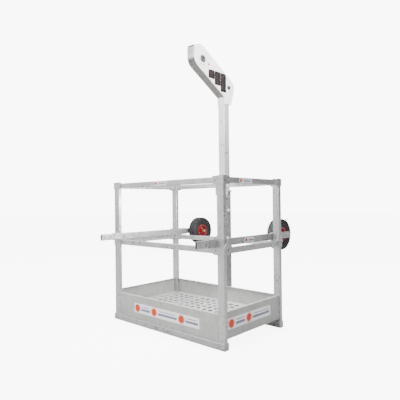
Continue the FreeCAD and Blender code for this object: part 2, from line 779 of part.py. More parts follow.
def tyre_shape():
    half = wheel_width / 2
    bead = rim_seat_radius + tyre_bead_clearance
    flange = rim_flange_radius + tyre_flange_gap
    bead_outer = rim_half_width - 2 * rim_sheet - tyre_bead_clearance
    shoulder = half - tyre_shoulder_inset
    widest = (flange + wheel_radius) / 2
    shoulder_radius = wheel_radius - tyre_shoulder_drop

    def arc(a, b, c):
        return Part.Arc(Vector(*a, 0), Vector(*b, 0), Vector(*c, 0)).toShape()

    def line(a, b):
        return Part.LineSegment(Vector(*a, 0), Vector(*b, 0)).toShape()

    inner_bead = bead_outer - tyre_wall
    inner_top = wheel_radius - tyre_wall
    inner_shoulder = (shoulder - tyre_wall, shoulder_radius - tyre_wall)
    edges = [
        arc((bead_outer, flange), (half, widest), (shoulder, shoulder_radius)),
        arc((shoulder, shoulder_radius), (0, wheel_radius), (-shoulder, shoulder_radius)),
        arc((-shoulder, shoulder_radius), (-half, widest), (-bead_outer, flange)),
        line((-bead_outer, flange), (-bead_outer, bead)),
        line((-bead_outer, bead), (-inner_bead, bead)),
        line((-inner_bead, bead), (-inner_bead, flange)),
        arc((-inner_bead, flange), (-half + tyre_wall, widest), (-inner_shoulder[0], inner_shoulder[1])),
        arc((-inner_shoulder[0], inner_shoulder[1]), (0, inner_top), inner_shoulder),
        arc(inner_shoulder, (half - tyre_wall, widest), (inner_bead, flange)),
        line((inner_bead, flange), (inner_bead, bead)),
        line((inner_bead, bead), (bead_outer, bead)),
        line((bead_outer, bead), (bead_outer, flange)),
    ]
    tyre = revolved(Part.Face(Part.Wire(edges)))
    grooves = []
    for place in (-shoulder * tread_groove_share, 0.0, shoulder * tread_groove_share):
        start, end = place - tread_groove / 2, place + tread_groove / 2
        depth = wheel_radius - 2 * tread_groove
        grooves.append(ring("x", Vector(0, 0, 0), start, end, wheel_radius + overrun, depth))
    return tyre.cut(Part.makeCompound(grooves))


def rim_half():
    """Pressed half of the rim on the +X side of the wheel's middle plane."""
    sheet = rim_sheet
    seat = rim_seat_radius
    disc = seat - rim_disc_inset
    seat_low = seat - rim_seat_drop
    housing_end = hub_length / 2 - hub_housing_inset
    profile = [(0, hub_radius), (housing_end, hub_radius), (housing_end, hub_housing_radius),
               (sheet, hub_housing_radius), (sheet, disc - sheet),
               (sheet + rim_bend, seat_low - sheet),
               (rim_half_width - sheet, seat - sheet), (rim_half_width, rim_flange_radius),
               (rim_half_width - sheet, rim_flange_radius + rim_lip),
               (rim_half_width - 2 * sheet, seat), (2 * sheet, seat_low), (0, disc)]
    points = [Vector(along, radius, 0) for along, radius in profile]
    half = revolved(Part.Face(Part.makePolygon(points + [points[0]])))
    for centre in rim_bolt_places():
        radius = rim_bolt_radius + rim_bolt_clearance
        half = half.cut(cylinder("x", centre, -overrun, sheet + overrun, radius))
    return half


def rim_bolt_places():
    places = []
    for step in range(rim_bolt_count):
        angle = math.radians(45 + 360 * step / rim_bolt_count)
        places.append(Vector(0, rim_bolt_circle * math.cos(angle), rim_bolt_circle * math.sin(angle)))
    return places


def rim_bolt(centre):
    head = hexagon("x", centre, rim_sheet, rim_sheet + rim_bolt_head, rim_bolt_flats)
    nut_end = -rim_sheet - rim_bolt_head
    shank = cylinder("x", centre, nut_end - rim_bolt_end, rim_sheet, rim_bolt_radius)
    nut = hexagon("x", centre, nut_end, -rim_sheet, rim_bolt_flats)
    bore = rim_bolt_radius + rim_bolt_clearance / 2
    nut = nut.cut(cylinder("x", centre, nut_end - overrun, 0, bore))
    return [head.fuse(shank), nut]


def axle_shapes():
    """Axle and its loose hardware for the right wheel, along X, measured from the wheel's middle."""
    middle = Vector(0, 0, 0)
    bar_inner = bar_x - bar_width / 2 - wheel_x
    bar_outer = bar_inner + bar_width
    hub_end = hub_length / 2
    washer_start = -hub_end - hub_side_clearance
    nut_start = washer_start - axle_washer
    shaft_end = nut_start - axle_nut_height - axle_end
    shaft = cylinder("x", middle, shaft_end, bar_outer, axle_radius)
    head = cylinder("x", middle, bar_outer, bar_outer + axle_head_height, axle_head_radius)
    bore = axle_radius + axle_fit_clearance
    spacer = ring("x", middle, hub_end + hub_side_clearance, bar_inner, axle_flats / 2, bore)
    washer = ring("x", middle, nut_start, washer_start, axle_head_radius, bore)
    nut = hexagon("x", middle, nut_start - axle_nut_height, nut_start, axle_flats)
    nut = nut.cut(cylinder("x", middle, shaft_end - overrun, 0, bore))
    return shaft.fuse(head), [spacer, washer, nut]


def wheels():
    tyre = tyre_shape()
    half = rim_half()
    rim = mirrored(half, MIRROR_X)
    bolts = [piece for centre in rim_bolt_places() for piece in rim_bolt(centre)]
    bore = axle_radius + hub_running_clearance
    bush = ring("x", Vector(0, 0, 0), -hub_length / 2, hub_length / 2, hub_radius, bore)
    axle, hardware = axle_shapes()
    groups = {"tyre": [tyre], "rim": rim, "rim_bolts": bolts, "hub_bush": [bush],
              "axle": [axle], "axle_hardware": hardware}
    for name, shapes in groups.items():
        for shape in shapes:
            shape.translate(Vector(wheel_x, wheel_y, bar_z))
        write(name + "_right", *shapes)
        write(name + "_left", *[mirrored(shape, MIRROR_X)[1] for shape in shapes])


base_rails()
posts()
rails_and_brackets()
toe_boards()
floor()
sleeve()
clamp_screws()
mast_and_head()
bar_holders()
holder_lock_screws()
bars()
wheels()
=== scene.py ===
"""Looks for the crane-lifted work basket: galvanised steel, tyres, labels, welds and the stage."""

import json
import math

import bpy
from mathutils import Matrix, Vector


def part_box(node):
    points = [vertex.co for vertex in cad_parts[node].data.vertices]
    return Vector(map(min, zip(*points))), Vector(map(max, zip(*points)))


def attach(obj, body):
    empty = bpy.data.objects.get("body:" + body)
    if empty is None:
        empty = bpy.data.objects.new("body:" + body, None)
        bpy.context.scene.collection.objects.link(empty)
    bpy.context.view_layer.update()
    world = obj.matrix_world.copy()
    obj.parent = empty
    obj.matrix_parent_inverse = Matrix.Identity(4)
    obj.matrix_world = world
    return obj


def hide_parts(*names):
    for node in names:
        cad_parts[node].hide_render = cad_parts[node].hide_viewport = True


bl_info = {
    "name": "Work Basket Finishes",
    "version": (1, 0, 0),
    "blender": (4, 5, 0),
    "location": "3D View > Sidebar > Work Basket",
    "description": "Finishes, tyres, labels, welds and stage for a crane-lifted work basket",
    "category": "Object",
}

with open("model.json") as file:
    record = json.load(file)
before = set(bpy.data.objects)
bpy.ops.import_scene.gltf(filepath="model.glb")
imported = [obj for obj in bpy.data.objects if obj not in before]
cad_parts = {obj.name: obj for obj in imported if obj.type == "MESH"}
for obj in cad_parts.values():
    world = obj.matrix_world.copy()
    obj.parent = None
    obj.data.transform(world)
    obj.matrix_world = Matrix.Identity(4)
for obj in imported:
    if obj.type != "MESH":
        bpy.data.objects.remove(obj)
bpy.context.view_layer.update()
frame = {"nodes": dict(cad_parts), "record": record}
NODES = frame["nodes"]
SIDES = ("left", "right")

ZINC_PLATED = (0.60, 0.59, 0.56, 1.0)
ZINC_YELLOW = (0.42, 0.29, 0.13, 1.0)
DARK_STEEL = (0.16, 0.155, 0.15, 1.0)
BARE_STEEL = (0.25, 0.23, 0.22, 1.0)
BRONZE = (0.62, 0.40, 0.16, 1.0)
BRONZE_TARNISH = (0.20, 0.12, 0.06, 1.0)
PLUG_BLACK = (0.018, 0.018, 0.019, 1.0)
TYRE_DUST = (0.045, 0.042, 0.038, 1.0)
WELD_GREY = (0.44, 0.45, 0.46, 1.0)
LABEL_WHITE = (0.86, 0.86, 0.88, 1.0)
PLATE_DARK = (0.012, 0.009, 0.010, 1.0)
PLATE_PRINT = (0.060, 0.045, 0.045, 1.0)
WHITE = (1.0, 1.0, 1.0, 1.0)

TREAD_MARGIN = 0.0014  # keeps the smoothed blocks inside the plain tyre's box
TREAD_RIB_EDGES = (0.0055, 0.0155, 0.0245)  # from the tyre's middle
TREAD_EDGE = 0.036
TREAD_SMOOTH_RIB = 1
VALVE_SEAT_RADIUS = 0.0435
VALVE_BASE_INSET = 0.006  # from the wheel's middle plane
VALVE_TURN = math.radians(25)
VALVE_FACETS = 24

STRIP_CORNER = 0.006
FRONT_STRIP_LENGTH = 0.712
FRONT_STRIP_SHIFT = 0.014  # from the cage's middle
FRONT_STRIP_LIFT = 0.086  # of the strip's middle over the board's lower edge
SIDE_STRIP_LENGTH = 0.500
SIDE_STRIP_SHIFT = 0.053
SIDE_STRIP_LIFT = 0.096
SMALL_LABEL_HEIGHT = 0.032
BAR_LABEL_HEIGHT = 0.038
SMALL_DISC_RADIUS = 0.012

DATA_PLATES = ((0.222, 0.074), (0.145, 0.116), (0.068, 0.160))  # ahead of the pin, height
DATA_PLATE_WIDTH = 0.075
DATA_PLATES_RISE = 0.110  # of their upper edges over the pin
DATA_ROW_PITCH = 0.0125
DATA_ROW_HEIGHT = 0.0035
DATA_ROW_LONG = 0.050
DATA_ROW_SHORT = 0.034
DATA_ROW_SPAN = 0.052

STITCH = 0.035
STITCH_SHARES = (0.12, 0.45, 0.78)  # of a side board's height
FOOT_STITCHES = 7
FOOT_STITCH_MARGIN = 0.05
WELD_GAP = 0.004  # left free at each end of a run along a tube's side
CORNER_GAP = 0.006  # left free where a run ends at a rounded corner

# name, place, what it points at, size, share of the key light's power
LAMPS = (
    ("key_light", (-2.4, -4.2, 3.8), (0, 0, 1.0), 2.4, 1.0),
    ("fill_light", (4.4, -1.2, 2.6), (0, 0, 1.0), 2.0, 0.08),
    ("head_light", (3.2, -0.9, 2.9), (0, 0.1, 2.15), 0.8, 0.12),
    ("inner_light", (0.34, 0.0, 0.95), (-0.6, 0.02, 0.14), 0.5, 0.13),
    ("top_light", (0.2, 0.4, 4.8), (0, 0, 1.0), 2.6, 2.2),
)
HEAD_LIGHT_SPREAD = math.radians(35)


# ---- Settings --------------------------------------------------------------------------------
class BasketFinishSettings(bpy.types.PropertyGroup):
    """Colours of the basket's surfaces."""

    tube_zinc: bpy.props.FloatVectorProperty(
        name="Tube zinc", description="Colour of the galvanised tubes", subtype="COLOR",
        size=4, min=0.0, max=1.0, default=(0.47, 0.475, 0.48, 1.0))
    sheet_zinc: bpy.props.FloatVectorProperty(
        name="Sheet zinc", description="Colour of the galvanised toe boards and floor",
        subtype="COLOR", size=4, min=0.0, max=1.0, default=(0.385, 0.387, 0.375, 1.0))
    mast_zinc: bpy.props.FloatVectorProperty(
        name="Mast zinc", description="Colour of the fresher zinc on the mast", subtype="COLOR",
        size=4, min=0.0, max=1.0, default=(0.66, 0.67, 0.69, 1.0))
    # Painted shade: a darker zinc standing in for the shade on the head's lower strip and on the
    # sleeve.
    painted_shade_zinc: bpy.props.FloatVectorProperty(
        name="Strip zinc", description="Colour of the darker zinc on the head's lower strip",
        subtype="COLOR", size=4, min=0.0, max=1.0, default=(0.26, 0.252, 0.238, 1.0))
    head_zinc: bpy.props.FloatVectorProperty(
        name="Head zinc", description="Colour of the bright zinc on the mast's head",
        subtype="COLOR", size=4, min=0.0, max=1.0, default=(0.93, 0.93, 0.935, 1.0))
    rubber: bpy.props.FloatVectorProperty(
        name="Rubber", description="Colour of the tyres", subtype="COLOR",
        size=4, min=0.0, max=1.0, default=(0.010, 0.010, 0.011, 1.0))
    rim_red: bpy.props.FloatVectorProperty(
        name="Rim red", description="Colour of the painted wheel rims", subtype="COLOR",
        size=4, min=0.0, max=1.0, default=(0.31, 0.008, 0.018, 1.0))
    signal_red: bpy.props.FloatVectorProperty(
        name="Signal red", description="Colour of the discs on the labels", subtype="COLOR",
        size=4, min=0.0, max=1.0, default=(0.64, 0.048, 0.009, 1.0))
    label_dark: bpy.props.FloatVectorProperty(
        name="Label grey", description="Colour of the bars on the labels", subtype="COLOR",
        size=4, min=0.0, max=1.0, default=(0.16, 0.18, 0.25, 1.0))


class BasketTyreSettings(bpy.types.PropertyGroup):
    """Sizes of the tyres' tread and sidewall."""

    steps: bpy.props.IntProperty(
        name="Steps", description="Segments around the tyre", default=108, min=36, max=216)
    tread_depth: bpy.props.FloatProperty(
        name="Tread depth", description="Height of the tread blocks", default=0.0035,
        min=0.001, max=0.006, subtype="DISTANCE", unit="LENGTH")
    wall: bpy.props.FloatProperty(
        name="Wall", description="Thickness of the tyre's carcass", default=0.006,
        min=0.003, max=0.010, subtype="DISTANCE", unit="LENGTH")
    valve_length: bpy.props.FloatProperty(
        name="Valve length", description="Visible length of the valve stem", default=0.030,
        min=0.01, max=0.05, subtype="DISTANCE", unit="LENGTH")


class BasketLabelSettings(bpy.types.PropertyGroup):
    """Sizes of the labels."""

    thickness: bpy.props.FloatProperty(
        name="Thickness", description="Thickness of a label", default=0.0008,
        min=0.0003, max=0.002, subtype="DISTANCE", unit="LENGTH")
    strip_height: bpy.props.FloatProperty(
        name="Strip height", description="Height of the long strips on the toe boards",
        default=0.075, min=0.03, max=0.12, subtype="DISTANCE", unit="LENGTH")
    disc_radius: bpy.props.FloatProperty(
        name="Disc radius", description="Radius of the signal discs", default=0.033,
        min=0.01, max=0.05, subtype="DISTANCE", unit="LENGTH")


class BasketWeldSettings(bpy.types.PropertyGroup):
    """Sizes of the weld beads."""

    radius: bpy.props.FloatProperty(
        name="Bead radius", description="Radius of a weld bead", default=0.0026,
        min=0.001, max=0.005, subtype="DISTANCE", unit="LENGTH")
    pitch: bpy.props.FloatProperty(
        name="Ripple pitch", description="Distance between a bead's ripples", default=0.0030,
        min=0.001, max=0.006, subtype="DISTANCE", unit="LENGTH")


class BasketStageSettings(bpy.types.PropertyGroup):
    """Camera, floor and light."""

    camera_place: bpy.props.FloatVectorProperty(
        name="Camera place", description="Where the camera stands", subtype="TRANSLATION",
        size=3, unit="LENGTH", default=(2.3011, -2.4836, 0.9661))
    heading: bpy.props.FloatProperty(
        name="Heading", description="Turn of the view from +Y towards -X",
        default=math.radians(42.846), subtype="ANGLE", unit="ROTATION")
    pitch: bpy.props.FloatProperty(
        name="Pitch", description="Upward tilt of the view", default=math.radians(0.461),
        subtype="ANGLE", unit="ROTATION")
    roll: bpy.props.FloatProperty(
        name="Roll", description="Turn of the view about its own line", default=math.radians(-0.683),
        subtype="ANGLE", unit="ROTATION")
    lens: bpy.props.FloatProperty(
        name="Lens", description="Focal length in millimetres", default=36.87,
        min=10.0, max=200.0)
    light_power: bpy.props.FloatProperty(
        name="Light power", description="Power of the key light in watts", default=150.0,
        min=0.0, max=2000.0)
    bright_side: bpy.props.FloatProperty(
        name="Bright side", description="Strength of the surroundings on the left", default=2.0,
        min=0.0, max=10.0)
    dim_side: bpy.props.FloatProperty(
        name="Dim side", description="Strength of the surroundings on the right", default=0.34,
        min=0.0, max=10.0)
    dim_way: bpy.props.FloatVectorProperty(
        name="Dim way", description="Direction in which the surroundings are dimmest", size=3,
        default=(0.75, 0.55, -0.36))
    backdrop: bpy.props.FloatProperty(
        name="Backdrop", description="Strength of the backdrop as seen", default=9.0,
        min=0.0, max=20.0)
    floor_glow: bpy.props.FloatProperty(
        name="Floor glow", description="Brightness added to the floor as seen", default=7.6,
        min=0.0, max=20.0)
    floor_colour: bpy.props.FloatVectorProperty(
        name="Floor", description="Colour of the floor", subtype="COLOR", size=4,
        min=0.0, max=1.0, default=(0.50, 0.50, 0.50, 1.0))


SETTINGS = {
    "basket_finish": BasketFinishSettings,
    "basket_tyre": BasketTyreSettings,
    "basket_label": BasketLabelSettings,
    "basket_weld": BasketWeldSettings,
    "basket_stage": BasketStageSettings,
}


# ---- Selecting and placing -------------------------------------------------------------------
def clear_selection():
    if bpy.context.object and bpy.context.object.mode != "OBJECT":
        bpy.ops.object.mode_set(mode="OBJECT")
    bpy.ops.object.select_all(action="DESELECT")


def activate(piece):
    clear_selection()
    piece.select_set(True)
    bpy.context.view_layer.objects.active = piece


def settle(piece):
    """Moves a piece's place, turn and size into its mesh."""
    activate(piece)
    bpy.ops.object.transform_apply(location=True, rotation=True, scale=True)


def apply_modifiers(piece):
    activate(piece)
    for modifier in list(piece.modifiers):
        bpy.ops.object.modifier_apply(modifier=modifier.name)


def joined(pieces, name):
    """Joins pieces into one, at the origin."""
    clear_selection()
    for piece in pieces:
        piece.select_set(True)
    bpy.context.view_layer.objects.active = pieces[0]
    if len(pieces) > 1:
        bpy.ops.object.join()
    whole = bpy.context.object
    whole.name = name
    settle(whole)
    return whole


def bevelled(piece, width, segments=2):
    modifier = piece.modifiers.new("bevel", "BEVEL")
    modifier.width = width
    modifier.segments = segments
    modifier.limit_method = "ANGLE"
    apply_modifiers(piece)


def smooth(piece, degrees=35):
    activate(piece)
    bpy.ops.object.shade_smooth_by_angle(angle=math.radians(degrees))


def set_material(piece, *materials):
    piece.data.materials.clear()
    for material in materials:
        piece.data.materials.append(material)


def middle_of(node):
    low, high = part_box(node)
    return (low + high) / 2


# ---- Materials -------------------------------------------------------------------------------
class Shader:
    """A material's node tree with short calls for the nodes used here."""

    def __init__(self, name):
        self.material = bpy.data.materials.new(name)
        self.material.use_nodes = True
        self.tree = self.material.node_tree
        self.surface = self.tree.nodes["Principled BSDF"]
        self.coords = self.tree.nodes.new("ShaderNodeTexCoord").outputs["Object"]

    def set(self, **values):
        for socket, value in values.items():
            self.surface.inputs[socket.replace("_", " ")].default_value = value

    def link(self, output, socket):
        self.tree.links.new(output, socket)

    def stretched(self, scale):
        node = self.tree.nodes.new("ShaderNodeMapping")
        node.inputs["Scale"].default_value = scale
        self.link(self.coords, node.inputs["Vector"])
        return node.outputs["Vector"]

    def noise(self, scale, detail=4.0, roughness=0.55, coords=None):
        node = self.tree.nodes.new("ShaderNodeTexNoise")
        node.inputs["Scale"].default_value = scale
        node.inputs["Detail"].default_value = detail
        node.inputs["Roughness"].default_value = roughness
        self.link(coords or self.coords, node.inputs["Vector"])
        return node.outputs["Fac"]

    def cells(self, scale):
        """Random grey per crystal."""
        node = self.tree.nodes.new("ShaderNodeTexVoronoi")
        node.inputs["Scale"].default_value = scale
        self.link(self.coords, node.inputs["Vector"])
        grey = self.tree.nodes.new("ShaderNodeRGBToBW")
        self.link(node.outputs["Color"], grey.inputs["Color"])
        return grey.outputs["Val"]

    def spread(self, value, low_in, high_in, low_out, high_out):
        node = self.tree.nodes.new("ShaderNodeMapRange")
        node.inputs["From Min"].default_value = low_in
        node.inputs["From Max"].default_value = high_in
        node.inputs["To Min"].default_value = low_out
        node.inputs["To Max"].default_value = high_out
        self.link(value, node.inputs["Value"])
        return node.outputs["Result"]

    def combine(self, operation, first, second):
        node = self.tree.nodes.new("ShaderNodeMath")
        node.operation = operation
        for index, value in enumerate((first, second)):
            if isinstance(value, (int, float)):
                node.inputs[index].default_value = value
            else:
                self.link(value, node.inputs[index])
        return node.outputs["Value"]

    def tint(self, colour, value):
        """A colour times a grey value."""
        node = self.tree.nodes.new("ShaderNodeMix")
        node.data_type = "RGBA"
        node.blend_type = "MULTIPLY"
        node.inputs["Factor"].default_value = 1.0
        node.inputs["A"].default_value = colour
        grey = self.tree.nodes.new("ShaderNodeCombineColor")
        for channel in ("Red", "Green", "Blue"):
            self.link(value, grey.inputs[channel])
        self.link(grey.outputs["Color"], node.inputs["B"])
        return node.outputs["Result"]

    def blend(self, first, second, factor):
        """Mix of two colours, each a value or an output, by a factor output."""
        node = self.tree.nodes.new("ShaderNodeMix")
        node.data_type = "RGBA"
        self.link(factor, node.inputs["Factor"])
        for socket, colour in (("A", first), ("B", second)):
            if hasattr(colour, "is_linked"):
                self.link(colour, node.inputs[socket])
            else:
                node.inputs[socket].default_value = colour
        return node.outputs["Result"]

    def bump(self, value, distance, strength):
        node = self.tree.nodes.new("ShaderNodeBump")
        node.inputs["Strength"].default_value = strength
        node.inputs["Distance"].default_value = distance
        self.link(value, node.inputs["Height"])
        self.link(node.outputs["Normal"], self.surface.inputs["Normal"])

    def up(self):
        """Height over the ground."""
        node = self.tree.nodes.new("ShaderNodeSeparateXYZ")
        self.link(self.coords, node.inputs["Vector"])
        return node.outputs["Z"]


def galvanised(name, colour, metallic=0.55, roughness=0.42, spangle=55.0, contrast=0.10, foot_darkening=0.0):
    """Hot-dip zinc: crystals, cloudy patches, run marks and a few dull scuffs."""
    shader = Shader(name)
    facets = shader.cells(spangle)
    crystals = shader.spread(facets, 0.2, 0.8, 1.0 - contrast, 1.0 + contrast)
    clouds = shader.spread(shader.noise(3.5, 5.0), 0.3, 0.7, 0.90, 1.08)
    runs = shader.noise(1.0, 6.0, 0.6, shader.stretched((34.0, 34.0, 2.2)))
    streaks = shader.spread(runs, 0.35, 0.75, 1.05, 0.93)
    tone = shader.combine("MULTIPLY", shader.combine("MULTIPLY", crystals, clouds), streaks)
    # Darker towards the bottom, over the lowest 0.3 m.
    if foot_darkening:
        foot = shader.spread(shader.up(), 0.0, 0.30, 1.0 - foot_darkening, 1.0)
        tone = shader.combine("MULTIPLY", tone, foot)
    zinc = shader.tint(colour, tone)
    scuffs = shader.spread(shader.noise(15.0, 8.0, 0.7), 0.60, 0.77, 0.0, 0.22)
    dull = (colour[0] * 0.72, colour[1] * 0.73, colour[2] * 0.76, 1.0)
    shader.link(shader.blend(zinc, dull, scuffs), shader.surface.inputs["Base Color"])
    shine = shader.spread(facets, 0.2, 0.8, roughness - 0.06, roughness + 0.08)
    wear = shader.spread(shader.noise(11.0, 6.0), 0.35, 0.7, -0.05, 0.10)
    shader.link(shader.combine("ADD", shine, wear), shader.surface.inputs["Roughness"])
    grain = shader.combine("MULTIPLY", shader.noise(420.0, 3.0), 0.15)
    shader.bump(shader.combine("ADD", shader.noise(14.0, 3.0), grain), 0.0005, 0.18)
    shader.set(Metallic=metallic, Specular_IOR_Level=0.5)
    return shader.material


def bright_fastener(name, colour=ZINC_PLATED):
    """Zinc-plated bolts: finer grain, a little yellowish and shinier than the dipped parts."""
    shader = Shader(name)
    tone = shader.spread(shader.noise(60.0, 5.0), 0.3, 0.7, 0.82, 1.08)
    shader.link(shader.tint(colour, tone), shader.surface.inputs["Base Color"])
    rough = shader.spread(shader.noise(140.0, 3.0), 0.3, 0.7, 0.26, 0.44)
    shader.link(rough, shader.surface.inputs["Roughness"])
    shader.bump(shader.noise(600.0, 2.0), 0.0002, 0.3)
    shader.set(Metallic=0.85)
    return shader.material


def tyre_rubber(name, colour):
    """Black rubber with dust rubbed into it."""
    shader = Shader(name)
    dust = shader.spread(shader.noise(24.0, 7.0, 0.65), 0.50, 0.78, 0.0, 0.35)
    shader.link(shader.blend(colour, TYRE_DUST, dust), shader.surface.inputs["Base Color"])
    rough = shader.spread(shader.noise(50.0, 4.0), 0.3, 0.7, 0.55, 0.80)
    shader.link(rough, shader.surface.inputs["Roughness"])
    grain = shader.combine("ADD", shader.noise(900.0, 3.0), shader.noise(70.0, 3.0))
    shader.bump(grain, 0.0003, 0.25)
    return shader.material


def rim_paint(name, colour):
    """Semi-gloss red enamel over pressed steel, with chips down to grey."""
    shader = Shader(name)
    shade = shader.spread(shader.noise(18.0, 4.0), 0.3, 0.7, 0.85, 1.10)
    chips = shader.spread(shader.noise(95.0, 5.0, 0.7), 0.685, 0.70, 0.0, 1.0)
    mixed = shader.blend(shader.tint(colour, shade), BARE_STEEL, chips)
    shader.link(mixed, shader.surface.inputs["Base Color"])
    rough = shader.spread(shader.noise(40.0, 4.0), 0.3, 0.7, 0.28, 0.42)
    shader.link(rough, shader.surface.inputs["Roughness"])
    shader.bump(shader.noise(260.0, 3.0), 0.0002, 0.2)
    shader.set(Coat_Weight=0.3, Coat_Roughness=0.2)
    return shader.material


def worn_bronze(name):
    shader = Shader(name)
    dark = shader.spread(shader.noise(90.0, 5.0), 0.4, 0.7, 0.0, 0.7)
    mixed = shader.blend(BRONZE, BRONZE_TARNISH, dark)
    shader.link(mixed, shader.surface.inputs["Base Color"])
    rough = shader.spread(shader.noise(150.0, 3.0), 0.3, 0.7, 0.28, 0.5)
    shader.link(rough, shader.surface.inputs["Roughness"])
    shader.bump(shader.noise(400.0, 3.0), 0.0002, 0.25)
    shader.set(Metallic=0.9)
    return shader.material


def moulded_black(name):
    """Black polyethylene plugs with a fine moulded grain."""
    shader = Shader(name)
    shade = shader.spread(shader.noise(45.0, 4.0), 0.3, 0.7, 0.7, 1.3)
    shader.link(shader.tint(PLUG_BLACK, shade), shader.surface.inputs["Base Color"])
    rough = shader.spread(shader.noise(120.0, 3.0), 0.3, 0.7, 0.42, 0.62)
    shader.link(rough, shader.surface.inputs["Roughness"])
    shader.bump(shader.noise(1100.0, 2.0), 0.0002, 0.35)
    return shader.material


def printed_vinyl(name, colour, gloss=0.32, specular=0.5):
    """Printed label film, slightly uneven and rubbed."""
    shader = Shader(name)
    shade = shader.spread(shader.noise(30.0, 5.0), 0.3, 0.7, 0.93, 1.04)
    shader.link(shader.tint(colour, shade), shader.surface.inputs["Base Color"])
    rough = shader.spread(shader.noise(70.0, 5.0), 0.3, 0.7, gloss - 0.06, gloss + 0.14)
    shader.link(rough, shader.surface.inputs["Roughness"])
    shader.bump(shader.noise(220.0, 3.0), 0.0001, 0.2)
    shader.set(Specular_IOR_Level=specular)
    return shader.material


def weld_metal(name):
    shader = Shader(name)
    shade = shader.spread(shader.noise(150.0, 4.0), 0.3, 0.7, 0.80, 1.10)
    shader.link(shader.tint(WELD_GREY, shade), shader.surface.inputs["Base Color"])
    rough = shader.spread(shader.noise(90.0, 4.0), 0.3, 0.7, 0.36, 0.58)
    shader.link(rough, shader.surface.inputs["Roughness"])
    shader.bump(shader.noise(500.0, 3.0), 0.0003, 0.4)
    shader.set(Metallic=0.6)
    return shader.material


def material(name):
    """A material made by the finish operator."""
    found = bpy.data.materials.get(name)
    if found is None:
        raise RuntimeError("material " + name + " is missing: run the finish operator first")
    return found


class BASKET_OT_finishes(bpy.types.Operator):
    """Makes the materials and gives them to the carried-over nodes"""

    bl_idname = "basket.finishes"
    bl_label = "Finishes"

    def execute(self, context):
        colours = context.scene.basket_finish
        tube = galvanised("zinc_tube", colours.tube_zinc, metallic=0.70, roughness=0.34,
                          contrast=0.07, foot_darkening=0.10)
        sheet = galvanised("zinc_sheet", colours.sheet_zinc, metallic=0.12, spangle=38.0,
                           contrast=0.06, roughness=0.46, foot_darkening=0.06)
        head = galvanised("zinc_head", colours.head_zinc, metallic=0.08, roughness=0.40,
                          spangle=70.0, contrast=0.05)
        by_slot = {
            "galvanised_tube": tube,
            "galvanised_sheet": sheet,
            "galvanised_head": head,
            "zinc_fasteners": bright_fastener("zinc_fastener"),
            "zinc_yellow": bright_fastener("zinc_yellow", ZINC_YELLOW),
            "black_plastic": moulded_black("plug_black"),
            "tyre": tyre_rubber("tyre_rubber", colours.rubber),
            "wheel_rim": rim_paint("rim_paint", colours.rim_red),
            "bronze": worn_bronze("bush_bronze"),
        }
        printed_vinyl("label_white", LABEL_WHITE)
        printed_vinyl("label_signal", colours.signal_red, specular=0.2)
        printed_vinyl("label_dark", colours.label_dark)
        printed_vinyl("plate_dark", PLATE_DARK, gloss=0.5, specular=0.15)
        printed_vinyl("plate_print", PLATE_PRINT, gloss=0.5, specular=0.15)
        weld_metal("weld_zinc")
        for entry in frame["record"]["subparts"]:
            set_material(NODES[entry["node"]], by_slot[entry["material_slot"]])
        # Painted shade: the head's lower strip gets the darker zinc so that it looks shaded from
        # below.
        set_material(NODES["head_front_strip"], galvanised(
            "zinc_strip_painted_shade", colours.painted_shade_zinc, metallic=0.90, roughness=0.28, contrast=0.05))
        set_material(NODES["mast_tube"], galvanised(
            "zinc_mast", colours.mast_zinc, metallic=0.45, roughness=0.34, contrast=0.05))
        set_material(NODES["lifting_eye_tube"], tube)
        set_material(NODES["head_pin"], bright_fastener("dark_steel", DARK_STEEL))
        # Painted shade: the sleeve gets the same darker zinc so that it looks shaded behind the post.
        set_material(NODES["mast_sleeve"], galvanised(
            "zinc_sleeve_painted_shade", colours.painted_shade_zinc, metallic=0.85, roughness=0.36, contrast=0.10))
        return {"FINISHED"}


# ---- Tyres and valves ------------------------------------------------------------------------
def drawn_profile(name, points):
    """A chain of edges in the XZ plane, drawn by extruding one vertex from point to point."""
    clear_selection()
    bpy.ops.mesh.primitive_plane_add(size=0.01, location=(0, 0, 0))
    piece = bpy.context.object
    piece.name = name
    bpy.ops.object.mode_set(mode="EDIT")
    bpy.ops.mesh.select_mode(type="VERT")
    bpy.ops.mesh.select_all(action="SELECT")
    bpy.ops.mesh.merge(type="CENTER")
    here = Vector((0, 0, 0))
    first = Vector((points[0][0], 0, points[0][1]))
    bpy.ops.transform.translate(value=first - here)
    here = first
    for along, up in points[1:]:
        there = Vector((along, 0, up))
        bpy.ops.mesh.extrude_region_move(TRANSFORM_OT_translate={"value": there - here})
        here = there
    return piece


def spun(axis, steps):
    """Turns the drawn chain a full circle about an axis through the origin, and closes it."""
    bpy.ops.mesh.select_all(action="SELECT")
    bpy.ops.mesh.spin(steps=steps, angle=2 * math.pi, center=(0, 0, 0), axis=axis)
    bpy.ops.mesh.select_all(action="SELECT")
    bpy.ops.mesh.remove_doubles(threshold=0.00005)
    bpy.ops.mesh.normals_make_consistent(inside=False)
    bpy.ops.object.mode_set(mode="OBJECT")


def tyre_profile(radius, half_width, wall, tread):
    """Outer and inner outline of the tyre, as distance along the axle and from it."""
    base = radius - tread - TREAD_MARGIN
    side = [(0.0235, 0.0518), (0.0268, 0.0560), (0.0272, 0.0606), (0.0335, 0.0625),
            (0.0372, 0.0670), (0.0392, 0.0700), (0.0395, 0.0730), (0.0412, 0.0800),
            (half_width, 0.0930), (0.0416, 0.1040), (0.0398, 0.1130), (0.0385, 0.1150),
            (0.0372, 0.1205)]
    crown = [(0.0330, base - 0.0018), (0.0240, base - 0.0006), (0.0150, base - 0.0002),
             (0.0060, base)]
    outer = side + crown
    inner = [(0.0180, 0.0518), (0.0200, 0.0640), (0.0340, 0.0800), (half_width - wall, 0.0930),
             (0.0330, 0.1100), (0.0240, 0.1175), (0.0060, 0.1195)]
    right = list(reversed(inner)) + outer
    left = [(-along, up) for along, up in reversed(right)]
    return right + left


